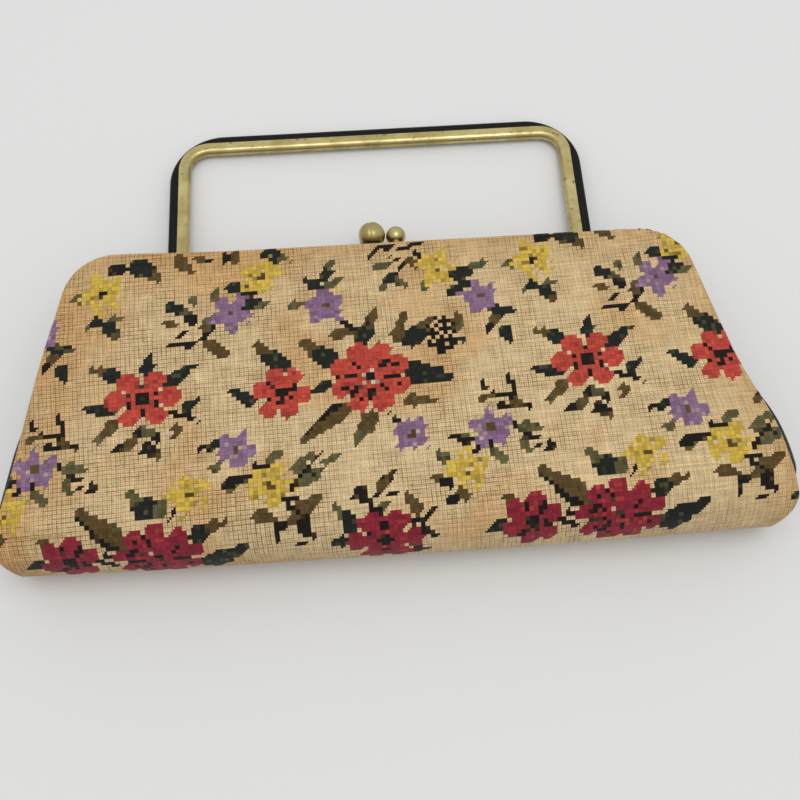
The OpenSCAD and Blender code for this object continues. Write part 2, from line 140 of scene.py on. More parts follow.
def new_piece(name, mesh_bm, material):
    """An object at the origin from a finished bmesh."""
    mesh = bpy.data.meshes.new(name)
    mesh_bm.to_mesh(mesh)
    mesh_bm.free()
    mesh.materials.append(material)
    piece = bpy.data.objects.new(name, mesh)
    bpy.context.scene.collection.objects.link(piece)
    return piece


# Floor paint: matt and even, so that only the bag's shadow shows on it
floor_paint, tree, shader = new_material("floor_paint")
shader.inputs["Base Color"].default_value = hex_linear(FLOOR_GREY)
shader.inputs["Roughness"].default_value = 0.9
shader.inputs["Specular IOR Level"].default_value = 0.2
bm = bmesh.new()
bmesh.ops.create_grid(bm, x_segments=1, y_segments=1, size=FLOOR_SIZE / 2,
                      matrix=Matrix.Translation((0, 0, cad_box[0][2] - FLOOR_GAP)))
new_piece("floor", bm, floor_paint)

world = bpy.data.worlds.new("room")
bpy.context.scene.world = world
world.use_nodes = True
tree = world.node_tree
place = add_node(tree, "ShaderNodeTexCoord")
height = add_node(tree, "ShaderNodeVectorMath", {0: place.outputs["Generated"], 1: SKY_WAY},
                  operation="DOT_PRODUCT")
climb = add_node(tree, "ShaderNodeMapRange", {"Value": height.outputs["Value"], "From Min": SKY_FROM,
                                              "From Max": SKY_TO})
sky = add_node(tree, "ShaderNodeMix", {"Factor": climb.outputs["Result"], "A": hex_linear(SKY_LOW),
                                       "B": hex_linear(SKY_HIGH)}, data_type="RGBA")
tree.links.new(sky.outputs["Result"], tree.nodes["Background"].inputs["Color"])
tree.nodes["Background"].inputs["Strength"].default_value = SKY_LEVEL

lamp = bpy.data.objects.new("lamp", bpy.data.lights.new("lamp", "AREA"))
lamp.data.size = LAMP_SIZE
lamp.data.energy = LAMP_WATTS
lamp.matrix_world = Matrix.Translation(LAMP_AT) @ LAMP_AT.to_track_quat("Z", "Y").to_matrix().to_4x4()
bpy.context.scene.collection.objects.link(lamp)

# Tapestry of the front
# Needlepoint in wool on a canvas of paired cotton threads, cut in one piece. It is drawn over the front half
# of the frame, turned in round the rim and the arms, and carried round the bottom fold to a seam on the back.
MM = 0.001

# Outline and thickness in millimetres, those of the solids but for fuller lower corners
RIM_W = 270
BASE_W = 333
RIM_R = 24
BASE_R = 9.5
RIM_T = 26
CREASE_H = 0.05
OUTLINE_PAST = 1
HALF_T = 5.8
SLOPE_STEP = 0.5

# Turned edges and the seam's small fold
EDGE_R = 2.2
LIP_R = 0.8
LIP_IN = 0.8
SEAM_UP = 6
SEAM_TURN = 1.5

# Swell of the padding under the cloth, and a slow wave in it that dies out near the edges
CROWN = 1.1
CROWN_REACH = 38
WAVE = 0.35
WAVE_LENGTH = 55
WAVE_EDGE = 12

# Shifts of the old cloth: a belly low on the right, a pull to the upper left corner, and a lift of the bottom
# edge on the right. A pair is the distance from the middle where a shift starts and the length it grows over.
BELLY = 4.0
BELLY_SIDE = (100, 60)
BELLY_Y = -30
BELLY_REACH = 40
PULL_X = -3.5
PULL_Y = 1.6
PULL_SIDE = (60, 70)
PULL_UP = (-50, 80)
PULL_TOP = (30, 40)
LIFT = 1.8
LIFT_SIDE = (20, 140)
LIFT_DOWN = (35, 35)

# Weave and pattern: one repeat is worked in so many columns of stitches, two threads to a stitch
REPEAT = 188
COLUMNS = 102
STITCH = REPEAT / COLUMNS
THREAD = STITCH / 2
GRAIN_TURN = math.radians(2)
PATTERN_X = -8
PATTERN_DOWN = 67
FRONT_ROW = 0
SPARE_COLUMNS = 4
SPARE_ROWS = 5

# Relief of the canvas and of the wool on it, the share of it that is left on the underside, and the share of
# a corner that each of the four threads round it takes
WEAVE_RISE = 0.09
WOOL_RISE = 0.22
STITCH_RISE = 0.2
UNDER_RELIEF = 0.4
FACE_SHARE = 1 / 4

cover_low, cover_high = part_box("front_cover")
RIM_Y = cover_high.y / MM
BASE_Y = cover_low.y / MM
FOLD_R = cover_high.z / MM / 2
FOLD_Y = BASE_Y + FOLD_R
SIDE_RISE = (BASE_W - RIM_W) / 2 / (RIM_Y - BASE_Y)
SIDE_A = math.atan(SIDE_RISE)
TILT = (math.asin((FOLD_R - CREASE_H) / math.hypot(RIM_Y - FOLD_Y, RIM_T - FOLD_R))
        - math.atan((RIM_T - FOLD_R) / (RIM_Y - FOLD_Y)))
FLAT = (RIM_Y - FOLD_Y) / math.cos(TILT) - FOLD_R * math.tan(TILT)
FOLD = FOLD_R * (TILT + math.pi)
FRONT_LENGTH = FLAT + FOLD + SEAM_UP
LOW_CORNER_Y = BASE_Y - OUTLINE_PAST + BASE_R
EDGE_TURN = EDGE_R * math.pi / 2
LIP_TURN = LIP_R * math.pi / 2
EDGE_WALL = HALF_T - EDGE_R - LIP_R
TURN_IN = EDGE_TURN + EDGE_WALL + LIP_TURN + LIP_IN

# Wools as the eye meets them, faded and a little dusty, and the wool that strays into each
WOOLS = {"canvas": "#d9c093", "coral": "#c44b3c", "crimson": "#932938", "violet": "#8f6d8c",
         "mustard": "#d8b64c", "pine": "#20251f", "brown": "#5f4a27", "moss": "#635d3a", "cream": "#cdb9a0",
         "ink": "#1c1712", "jet": "#1a1611"}
STRAY = {"pine": "moss", "moss": "pine", "brown": "moss", "ink": "brown", "mustard": "brown",
         "coral": "crimson", "crimson": "coral", "violet": "cream", "cream": "brown", "jet": "pine"}
STRAYED = 0.6
STRAY_SPAN = (2 / 3, 1 / 3)
WOOL_DARKEST = 0.88
WOOL_RANGE = 0.2
THREAD_DARKEST = 0.95
THREAD_RANGE = 0.1

# Canvas: browner where hands held the bag, stained in patches, more to the left, and uneven along its threads
CANVAS_WORN = "#c0955a"
WORN_RIM = 0.35
WORN_RIM_REACH = 7
WORN_BAND = 0.25
WORN_BAND_REACH = 35
CANVAS_STAIN = "#cf9a5c"
STAINED = 0.5
STAIN_SIZE = 48
STAIN_LEAN = 500
STAIN_DETAIL = (1.0, 2.0, 3)
STAIN_SPAN = (0.05, 0.5)
THREAD_SHADE = 0.24
OVER_SHARE = 1.5
UNDER_SHARE = 0.5
SLUB_RUN = 12
SLUB_STEP = 0.73
STAIN_SEED = 9
WARP_SEED = 2
WEFT_SEED = 7
WAVE_SEED = 4
# Colour of the painted shade in the gaps and holes between the canvas threads, which the pulled threads are
# darkened towards
CANVAS_GAP_SHADE = "#7c5a2c"

# Pulled threads: thin brown lines across the canvas, from end to end, measured as the flowers are
PULLED = [((-153, -56), (-121, -58)), ((-70, -58), (-45, -57)), ((-42, -58), (-20, -58)),
          ((32, -58), (48, -57))]
PULLED_DARK = 0.35

# Flowers are centre, radius, height as a share of the width, petals, the way of one petal in degrees, and the
# depth of the gaps between petals as a share of the radius, measured from the middle of the first one
FLOWERS = {
    "coral": [(0, 0, 17.5, 0.93, 8, 22, 0.35), (-38, -4, 12, 1, 6, 50, 0.5), (93, -1, 15, 0.85, 6, 0, 0.6)],
    "crimson": [(96, -69.5, 18, 0.8, 9, 10, 0.35), (60, -69, 12, 1, 6, 80, 0.5),
                (0, -71, 15.5, 0.8, 6, 60, 0.5)],
    "violet": [(130, 36, 9.5, 1, 5, 54, 0.6), (-17, 36, 9, 1, 5, 20, 0.4), (51, 34, 8.5, 1, 5, 30, 0.5),
               (-58, -27, 8.5, 1, 5, 60, 0.5), (48, -28, 9.5, 1, 5, 20, 0.55), (15, -28, 8, 1, 4, 45, 0.4)],
    "mustard": [(77, 50, 10, 1, 5, 40, 0.4), (-44, 53, 10, 1, 5, 70, 0.4), (34, 50, 10, 1, 5, 10, 0.4),
                (-78, -45, 9, 1, 5, 30, 0.4), (-45, -45, 10, 1, 5, 60, 0.4), (36, -46, 9.5, 1, 5, 20, 0.4)],
}
LARGE = 11
PETAL_EDGE = 1.02
PETAL_RAGGED = 0.16
LARGE_LOBE = 4
SMALL_LOBE = 2
MUSTARD_WORKED = 0.74

# Dark strokes in the gaps and along the ribs of large petals, as shares of the radius, and the share of the
# petals that have them. Other gaps are left as bare canvas near the petals' ends.
STROKE = 0.55 * STITCH
GAP_FROM = 0.34
GAP_TO = 0.55
GAP_SPREAD = 0.3
GAP_END = 0.78
GAP_BARE = 0.72
GAP_DARK = 0.6
RIB_FROM = 0.58
RIB_TO = 0.76
RIB_PLAIN = 0.3

# Hearts: a dark spot, with a pale ring round it in the flowers that have many petals
HEART = 3.8
RINGED = 8
RING_OUT = 1.1 * HEART
RING_IN = 0.55 * HEART
RING_WORN = 0.15
PLAIN_HEART = 0.22
SMALL_HEART = 0.45 * HEART
DARK_HEARTS = [(77, 50)]

# Leaves are base, tip and width, then the wools of their body and tip
LEAVES = [
    (-13, 6, -29, 20, 10, "pine", "brown"), (14, 2, 35, -4, 11, "pine", "pine"),
    (16, 13, 29, 25, 9, "pine", "brown"), (-4, 14, 5, 33, 8, "pine", "brown"),
    (12, 14, 17, 30, 6, "brown", "brown"), (-16, 21, -5, 22, 5, "brown", "brown"),
    (12, -12, 28, -14, 6, "brown", "brown"), (1, -16, -9, -30, 8, "brown", "moss"),
    (-16, -1, -27, -5, 5, "pine", "pine"), (-35, 6, -49, 21, 9, "pine", "brown"),
    (-48, -7, -60, -1, 6, "pine", "pine"), (85, 9, 71, 16, 6, "pine", "brown"),
    (95, 8, 97, 20, 7, "pine", "pine"), (101, 3, 115, 13, 7, "pine", "pine"),
    (83, -5, 68, -3, 6, "pine", "pine"), (82, -10, 73, -19, 6, "brown", "moss"),
    (91, -19, 80, -24, 6, "brown", "ink"), (92, -14, 101, -21, 5, "moss", "ink"),
    (92, -21, 100, -30, 6, "ink", "brown"), (109, -8, 116, -3, 5, "pine", "pine"),
    (108, -14, 104, -21, 5, "brown", "brown"), (137, 44, 145, 47, 3, "ink", "ink"),
    (136, 41, 148, 40, 4, "ink", "moss"), (123, 42, 124, 49, 5, "moss", "moss"),
    (101, 34, 111, 31, 4, "brown", "brown"), (103, 43, 115, 36, 6, "pine", "moss"),
    (114, 46, 115, 40, 4, "moss", "moss"), (113, 37, 114, 30, 4, "ink", "ink"),
    (119, 28, 120, 36, 5, "brown", "moss"), (118, 23, 129, 15, 6, "brown", "brown"),
    (80, 60, 88, 63, 7, "ink", "ink"), (89, 66, 101, 54, 9, "pine", "brown"),
    (107, 67, 115, 57, 6, "brown", "brown"), (115, 66, 124, 63, 4, "brown", "ink"),
    (69, 50, 62, 48, 5, "moss", "moss"), (77, 40, 69, 33, 6, "pine", "moss"),
    (79, 38, 87, 38, 5, "moss", "moss"), (78, 36, 85, 27, 6, "pine", "brown"),
    (54, 27, 66, 24, 7, "pine", "pine"), (58, 24, 52, 16, 5, "brown", "ink"),
    (59, 19, 62, 10, 6, "pine", "pine"), (40, 27, 40, 15, 5, "brown", "moss"),
    (38, 15, 43, 12, 4, "pine", "pine"), (44, -15, 51, -14, 4, "brown", "brown"),
    (58, -17, 66, -21, 5, "brown", "ink"), (51, -18, 57, -19, 4, "ink", "ink"),
    (-18, 44, -25, 51, 6, "pine", "pine"), (-17, 48, -12, 59, 6, "pine", "moss"),
    (-16, 45, -8, 50, 5, "moss", "moss"), (37, 43, 57, 52, 7, "pine", "moss"),
    (36, 36, 49, 43, 6, "pine", "pine"), (28, 44, 28, 38, 5, "moss", "moss"),
    (6, 53, 15, 54, 5, "moss", "moss"), (14, 49, 8, 41, 6, "pine", "moss"),
    (15, 47, 20, 41, 4, "moss", "moss"), (22, 57, 25, 50, 4, "brown", "brown"),
    (-44, 66, -30, 60, 7, "pine", "moss"), (-60, 68, -59, 61, 4, "ink", "ink"),
    (-55, 68, -55, 60, 4, "brown", "brown"), (-60, 50, -50, 48, 5, "pine", "moss"),
    (-56, 40, -41, 39, 6, "pine", "moss"), (-33, 38, -26, 37, 5, "moss", "moss"),
    (112, -78, 133, -67, 11, "pine", "pine"), (109, -62, 125, -57, 7, "pine", "brown"),
    (96, -53, 85, -41, 10, "pine", "moss"), (99, -54, 99, -46, 6, "moss", "moss"),
    (135, -56, 146, -58, 6, "brown", "brown"), (157, -57, 165, -49, 5, "brown", "brown"),
    (157, -43, 165, -39, 5, "pine", "moss"), (158, -32, 162, -37, 5, "moss", "moss"),
    (142, -35, 150, -29, 5, "moss", "moss"), (119, -36, 125, -32, 5, "moss", "moss"),
    (124, -24, 114, -26, 5, "pine", "ink"), (54, -62, 49, -57, 5, "brown", "brown"),
    (50, -68, 40, -71, 5, "pine", "pine"), (-6, -49, -13, -53, 5, "ink", "ink"),
    (-2, -51, 4, -45, 6, "brown", "brown"), (-1, -57, 4, -56, 5, "moss", "moss"),
    (-11, -66, -20, -54, 7, "pine", "moss"), (-12, -70, -23, -70, 6, "pine", "pine"),
    (15, -62, 10, -52, 6, "brown", "brown"), (14, -66, 22, -72, 5, "ink", "ink"),
    (9, -78, 19, -79, 5, "pine", "pine"), (21, -46, 28, -49, 4, "brown", "ink"),
    (25, -48, 30, -53, 5, "ink", "ink"), (30, -53, 36, -58, 5, "brown", "brown"),
    (26, -59, 31, -55, 5, "ink", "ink"), (29, -42, 24, -36, 5, "moss", "moss"),
    (48, -34, 38, -39, 4, "ink", "ink"), (46, -37, 53, -45, 5, "moss", "moss"),
    (59, -28, 71, -31, 5, "moss", "moss"), (59, -34, 64, -41, 5, "moss", "moss"),
    (-34, -40, -31, -33, 5, "moss", "moss"), (-23, -37, -14, -34, 4, "moss", "moss"),
    (-33, -44, -23, -43, 5, "moss", "moss"), (-35, -55, -27, -51, 5, "brown", "brown"),
    (-38, -57, -32, -62, 5, "brown", "ink"),
]
LEAF_FULL = 0.25
LEAF_ROUND = 0.5
LEAF_TAPER = 0.55
LEAF_OVER = 0.4
LEAF_RAGGED = 0.6
TIP_AT = 0.62
TIP_RAGGED = 0.1

# Leaves in two wools along their length: base, tip and width, the wools of the left and right sides, and how
# far left of the middle they meet, as a share of the width
SPLIT_LEAVES = [
    (-10, -12, -31, -27, 9, "brown", "ink", -0.18), (84, -64, 64, -47, 10, "ink", "brown", 0.18),
    (124, -44, 136, -39, 6, "ink", "moss", -0.18), (40, -33, 30, -30, 5, "ink", "moss", -0.18),
]

# Berries are patches of scattered dark stitches: middle, half width and half height
BERRIES = [(32, 17, 7, 9)]
BERRY_WORKED = 0.7
BERRY_BETWEEN = 0.15

# Twigs are lines of single dark stitches, from point to point, with a stitch left out here and there
TWIGS = [
    [(-11, 29), (-2, 19)], [(92, -8), (90, -18), (86, -21)], [(100, -7), (109, -10), (116, -14)],
    [(100, 27), (104, 23), (113, 22), (118, 25), (123, 30)], [(108, 27), (112, 29)], [(76, 42), (77, 37)],
    [(129, 50), (134, 47)], [(138, 46), (143, 50)], [(137, 46), (136, 41)],
    [(46, -7), (50, -13), (60, -15)], [(58, -4), (60, -12), (57, -19)],
    [(4, 59), (9, 63), (21, 62), (29, 64)], [(21, 62), (29, 55)], [(11, 59), (19, 55), (18, 51), (14, 47)],
    [(-55, 44), (-44, 50)], [(-11, 28), (-6, 25)], [(102, -55), (107, -48)], [(70, -69), (79, -73)],
    [(74, -66), (81, -68)], [(145, -60), (157, -59), (155, -54), (153, -51)], [(146, -60), (144, -67)],
    [(156, -60), (160, -67)], [(156, -69), (157, -69)], [(146, -51), (153, -50)], [(154, -45), (159, -39)],
    [(134, -34), (146, -37)], [(60, -61), (65, -61)], [(-2, -65), (-4, -56), (-8, -50)],
    [(0, -62), (-3, -55), (-12, -52)], [(-3, -53), (5, -46)], [(0, -45), (6, -44)], [(2, -54), (7, -52)],
    [(11, -65), (17, -63), (21, -59)], [(56, -27), (61, -29)], [(62, -33), (67, -34), (73, -39)],
    [(66, -37), (70, -40)], [(-37, -47), (-23, -32)], [(-30, -40), (-26, -40)], [(-42, -50), (-34, -56)],
    [(-43, -61), (-35, -61), (-31, -66)], [(-36, -69), (-34, -69)], [(6, -17), (12, -24)],
]
TWIG_REACH = 0.62 * STITCH
TWIG_WORKED = 0.85

# Each use of an even draw has its own number
(TWIG_DRAW, LEAF_DRAW, PETAL_DRAW, BERRY_DRAW, RING_DRAW, BARE_DRAW, WOOL_DRAW, THREAD_DRAW,
 STRAY_DRAW) = range(1, 10)
DRAW_STEP = (0.917, 1.113, 3.7)
DRAW_START = (0.31, 0.57, 0.23)
FLOWER_STEP = 0.1

CHART = {}


def shade_of(i, j, use):
    """An even draw from 0 to 1 for one stitch."""
    return noise.cell(Vector(n * step + start for n, step, start in zip((i, j, use), DRAW_STEP, DRAW_START)))


def work(place, wool):
    """Puts one stitch of the repeat in the chart, as column and row with its wool."""
    CHART[(place[0] % COLUMNS, place[1])] = wool


def stitches_near(x, y, reach):
    """Stitches round a point, as column and row, with the way from the point to their middle."""
    for i in range(math.floor((x - reach) / STITCH), math.ceil((x + reach) / STITCH)):
        for j in range(math.floor((y - reach) / STITCH), math.ceil((y + reach) / STITCH)):
            yield (i, j), (i + 0.5) * STITCH - x, (j + 0.5) * STITCH - y


def along_line(dx, dy, x, y):
    """How far a point lies along the line from the origin to (x, y), and how far to the left of it."""
    run = math.hypot(x, y)
    return (dx * x + dy * y) / run, (dy * x - dx * y) / run


def leaf_stitches(x0, y0, x1, y1, width):
    """Stitches of one leaf, with their place along it as a share of its length, and across it."""
    run = math.hypot(x1 - x0, y1 - y0)
    for place, dx, dy in stitches_near(x0, y0, run + STITCH):
        along, across = along_line(dx, dy, x1 - x0, y1 - y0)
        share = along / run
        if not 0 <= share <= 1:
            continue
        base = min(1, (share / LEAF_FULL) ** LEAF_ROUND)
        tip = (1 - max(0, share - LEAF_FULL) / (1 - LEAF_FULL)) ** LEAF_TAPER
        ragged = LEAF_RAGGED * (shade_of(*place, LEAF_DRAW) - 0.5)
        if abs(across) < width / 2 * base * tip + LEAF_OVER + ragged:
            yield place, share, across


def flower_wool(wool, flower, place, dx, dy):
    """Wool of one stitch of a flower, or None where it is past the petals or the canvas stays bare."""
    x, y, radius, tall, petals, way, lobe = flower
    large, ringed = radius > LARGE, petals >= RINGED
    out = math.hypot(dx, dy / tall) / radius
    turn = (math.atan2(dy / tall, dx) - math.radians(way)) * petals / math.tau
    from_axis = 2 * abs(turn - round(turn))
    ragged = 0 if large else PETAL_RAGGED * shade_of(*place, PETAL_DRAW)
    notch = lobe * from_axis ** (LARGE_LOBE if large else SMALL_LOBE)
    if out > PETAL_EDGE - notch - ragged:
        return None
    if wool == "mustard" and shade_of(*place, BARE_DRAW) > MUSTARD_WORKED:
        return None

    from_heart = out * radius
    if not large:
        heart = "ink" if (x, y) in DARK_HEARTS else "brown"
        return heart if from_heart < SMALL_HEART else wool
    half_petal = out * radius * math.pi / petals
    in_gap = (1 - from_axis) * half_petal < STROKE
    on_rib = from_axis * half_petal < STROKE
    draw = shade_of(round(turn + 0.5), petals, x + FLOWER_STEP * y)
    if in_gap and out > GAP_BARE and draw >= GAP_DARK:
        return None
    if from_heart < (RING_OUT if ringed else PLAIN_HEART * radius):
        if not ringed or from_heart <= RING_IN:
            return "ink"
        return "cream" if shade_of(*place, RING_DRAW) > RING_WORN else wool
    gap_stroke = GAP_FROM < out < GAP_TO + GAP_SPREAD * draw or out > GAP_END and draw < GAP_DARK
    rib_stroke = ringed and RIB_FROM < out < RIB_TO and draw > RIB_PLAIN
    return "ink" if in_gap and gap_stroke or on_rib and rib_stroke else wool


# The chart is worked from the back to the front: twigs, leaves, berries and flowers
for points in TWIGS:
    for (x0, y0), (x1, y1) in zip(points, points[1:]):
        run = math.hypot(x1 - x0, y1 - y0)
        for place, dx, dy in stitches_near(x0, y0, run + STITCH):
            along, across = along_line(dx, dy, x1 - x0, y1 - y0)
            on_twig = abs(across) < TWIG_REACH and -TWIG_REACH / 2 <= along <= run + TWIG_REACH / 2
            if on_twig and shade_of(*place, TWIG_DRAW) < TWIG_WORKED:
                work(place, "ink")
for *line, width, body, tip in LEAVES:
    for place, share, across in leaf_stitches(*line, width):
        ragged = TIP_RAGGED * (shade_of(*place, LEAF_DRAW) - 0.5)
        work(place, body if share < TIP_AT + ragged else tip)
for *line, width, left_wool, right_wool, split in SPLIT_LEAVES:
    for place, share, across in leaf_stitches(*line, width):
        work(place, left_wool if across > split * width else right_wool)
for x, y, half_w, half_h in BERRIES:
    for place, dx, dy in stitches_near(x, y, max(half_w, half_h)):
        chance = BERRY_WORKED if sum(place) % 2 else BERRY_BETWEEN
        if math.hypot(dx / half_w, dy / half_h) < 1 and shade_of(*place, BERRY_DRAW) < chance:
            work(place, "jet")
for wool, flowers in FLOWERS.items():
    for flower in flowers:
        x, y, radius = flower[:3]
        for place, dx, dy in stitches_near(x, y, radius + STITCH):
            found = flower_wool(wool, flower, place, dx, dy)
            if found:
                work(place, found)


def half_width(y):
    """Half the bag's width at one level, with the lower corners round."""
    straight = RIM_W / 2 + (RIM_Y - y) * SIDE_RISE
    if y > LOW_CORNER_Y + BASE_R * math.sin(SIDE_A):
        return straight
    middle = RIM_W / 2 + (RIM_Y - LOW_CORNER_Y) * SIDE_RISE - BASE_R / math.cos(SIDE_A)
    return middle + math.sqrt(max(0, BASE_R ** 2 - (y - LOW_CORNER_Y) ** 2))


def on_front(down):
    """Point and outward direction, in Y and Z, at a distance down the cloth from the rim."""
    if down < FLAT:
        return (RIM_Y - down * math.cos(TILT), RIM_T + down * math.sin(TILT), math.sin(TILT), math.cos(TILT))
    if down < FLAT + FOLD:
        lean = TILT - (down - FLAT) / FOLD_R
        ny, nz = math.sin(lean), math.cos(lean)
        return (FOLD_Y + FOLD_R * ny, FOLD_R + FOLD_R * nz, ny, nz)
    return (FOLD_Y + down - FLAT - FOLD, 0, 0, -1)


def past_bend(x, down, surface):
    """How far a point of the cut cloth lies past the line where it starts to turn over, and which way out."""
    corner_x = RIM_W / 2 + RIM_R * SIDE_RISE - RIM_R / math.cos(SIDE_A)
    dx, dv = abs(x) - corner_x, RIM_R - down
    to_rim = dv - (RIM_R - EDGE_R)
    if dx > 0 and dv > dx * math.tan(SIDE_A):
        out = math.hypot(dx, dv)
        return out - (RIM_R - EDGE_R), dx / out, dv / out
    width = half_width(surface(down)[0])
    wider = half_width(surface(down + SLOPE_STEP)[0]) - half_width(surface(down - SLOPE_STEP)[0])
    slope = wider / (2 * SLOPE_STEP)
    slant = math.hypot(1, slope)
    to_side = (abs(x) - width) / slant + EDGE_R
    if to_rim > to_side and dx <= 0:
        return to_rim, 0, 1
    return to_side, 1 / slant, slope / slant


def over_edge(past):
    """Where cloth that is past the bend lies: how far out of it, and how deep below the face."""
    if past < EDGE_TURN:
        return EDGE_R * math.sin(past / EDGE_R), EDGE_R * (1 - math.cos(past / EDGE_R))
    past -= EDGE_TURN
    if past < EDGE_WALL:
        return EDGE_R, EDGE_R + past
    past -= EDGE_WALL
    if past < LIP_TURN:
        return EDGE_R - LIP_R * (1 - math.cos(past / LIP_R)), HALF_T - LIP_R * (1 - math.sin(past / LIP_R))
    return EDGE_R - LIP_R - (past - LIP_TURN), HALF_T


def smooth_step(t):
    """A smooth rise from 0 to 1."""
    t = min(max(t, 0), 1)
    return t * t * (3 - 2 * t)


def ramp(value, span):
    """A smooth rise from 0 to 1 over a span, which is its start and its length."""
    start, length = span
    return smooth_step((value - start) / length)


def slack(x, y):
    """The old cloth's shift at one point."""
    belly = BELLY * ramp(x, BELLY_SIDE) * smooth_step(1 - abs(y - BELLY_Y) / BELLY_REACH)
    pulled = ramp(-x, PULL_SIDE) * ramp(y, PULL_UP)
    lifted = LIFT * ramp(x, LIFT_SIDE) * ramp(-y, LIFT_DOWN)
    return Vector((belly + PULL_X * pulled, PULL_Y * pulled * ramp(y, PULL_TOP) + lifted, 0))


def cut_canvas(surface, length):
    """A flat grid of threads cut to the shape of one half, with each thread's number and its bend."""
    columns = math.ceil((BASE_W + 2 * TURN_IN) / STITCH / 2) + SPARE_COLUMNS
    rows_up = math.ceil((PATTERN_DOWN + TURN_IN) / STITCH) + SPARE_ROWS
    rows_down = math.ceil((length + SEAM_TURN - PATTERN_DOWN) / STITCH) + SPARE_ROWS
    across, along = 4 * columns, 2 * (rows_up + rows_down)
    cos_g, sin_g = math.cos(GRAIN_TURN), math.sin(GRAIN_TURN)
    bm = bmesh.new()
    bmesh.ops.create_grid(bm, x_segments=across, y_segments=along, size=0.5)
    bm.loops.layers.float_color.new("wool")
    bm.loops.layers.uv.new("threads")
    bm.verts.layers.float.new("worked")
    bm.verts.layers.float_vector.new("lattice")
    bm.verts.layers.float_vector.new("edge")
    lattice, edge = (bm.verts.layers.float_vector[name] for name in ("lattice", "edge"))
    for v in bm.verts:
        i = round((v.co.x + 0.5) * across) - 2 * columns
        j = round((v.co.y + 0.5) * along) - 2 * rows_down
        v[lattice] = (i, j, 0)
        x, y = i * THREAD, j * THREAD
        v.co = (x * cos_g - y * sin_g + PATTERN_X, PATTERN_DOWN - x * sin_g - y * cos_g, 0)
        v[edge] = past_bend(v.co.x, v.co.y, surface)
    spare = [v for v in bm.verts if v[edge].x > TURN_IN or v.co.y > length + SEAM_TURN]
    bmesh.ops.delete(bm, geom=spare, context="VERTS")
    return bm


def colour_of(code):
    """A colour to reckon with, from sRGB hex."""
    return Vector(hex_linear(code)[:3])


def canvas_colour(i, j, place, inside, pulled):
    """Colour of the bare canvas at one thread, at a distance inside the bend."""
    worn = WORN_RIM * math.exp(-inside / WORN_RIM_REACH) + WORN_BAND * math.exp(-inside / WORN_BAND_REACH)
    colour = colour_of(WOOLS["canvas"]).lerp(colour_of(CANVAS_WORN), min(1, worn))
    cloud = noise.fractal(Vector((place.x, place.y, STAIN_SEED)) / STAIN_SIZE, *STAIN_DETAIL)
    colour = colour.lerp(colour_of(CANVAS_STAIN), STAINED * ramp(cloud - place.x / STAIN_LEAN, STAIN_SPAN))
    warp = noise.noise(Vector((i * SLUB_STEP, j / SLUB_RUN, WARP_SEED)))
    weft = noise.noise(Vector((i / SLUB_RUN, j * SLUB_STEP, WEFT_SEED)))
    over, under = (warp, weft) if (i + j) % 2 else (weft, warp)
    colour = colour * (1 + THREAD_SHADE * (OVER_SHARE * over + UNDER_SHARE * under))
    for (x0, y0), (x1, y1) in pulled:
        along, across = along_line(i * THREAD - x0, j * THREAD - y0, x1 - x0, y1 - y0)
        if 0 < along < math.hypot(x1 - x0, y1 - y0) and abs(across) < THREAD / 2:
            colour = colour.lerp(colour_of(CANVAS_GAP_SHADE), PULLED_DARK)
    return colour


def wool_colour(kind, column, row, i, j):
    """Colour of one thread of a worked stitch: now and then a stray wool, and no two stitches quite alike."""
    strayed = STRAYED * ramp(shade_of(column, row, STRAY_DRAW), STRAY_SPAN)
    colour = colour_of(WOOLS[kind]).lerp(colour_of(WOOLS[STRAY[kind]]), strayed)
    colour = colour * (WOOL_DARKEST + WOOL_RANGE * shade_of(column, row, WOOL_DRAW))
    return colour * (THREAD_DARKEST + THREAD_RANGE * shade_of(i, j, THREAD_DRAW))


def work_wool(bm, surface, first_row, pulled):
    """Colours each thread of the cut canvas by the chart, and marks where wool lies on it."""
    lattice = bm.verts.layers.float_vector["lattice"]
    worked = bm.verts.layers.float["worked"]
    wool, threads = bm.loops.layers.float_color["wool"], bm.loops.layers.uv["threads"]
    for f in bm.faces:
        i, j = (round(min(v[lattice][k] for v in f.verts)) for k in (0, 1))
        column, row = i // 2, j // 2 + first_row
        kind = CHART.get((column % COLUMNS, row), "canvas")
        # A tent stitch slants, so two corners of its square stay bare where no other stitch adjoins
        side, rise = (1, -1) if i % 2 else (-1, 1)
        adjoining = {((column + side) % COLUMNS, row), (column % COLUMNS, row + rise)}
        if kind != "jet" and i % 2 != j % 2 and not adjoining & CHART.keys():
            kind = "canvas"
        if kind == "canvas":
            place = f.calc_center_median()
            inside = max(0, -past_bend(place.x, place.y, surface)[0])
            colour = canvas_colour(i, j, place, inside, pulled)
        else:
            colour = wool_colour(kind, column, row, i, j)
            for v in f.verts:
                v[worked] += FACE_SHARE
        for loop in f.loops:
            loop[wool] = (*colour, 0.0 if kind == "canvas" else 1.0)
            loop[threads].uv = loop.vert[lattice].xy * THREAD / STITCH
        f.smooth = True


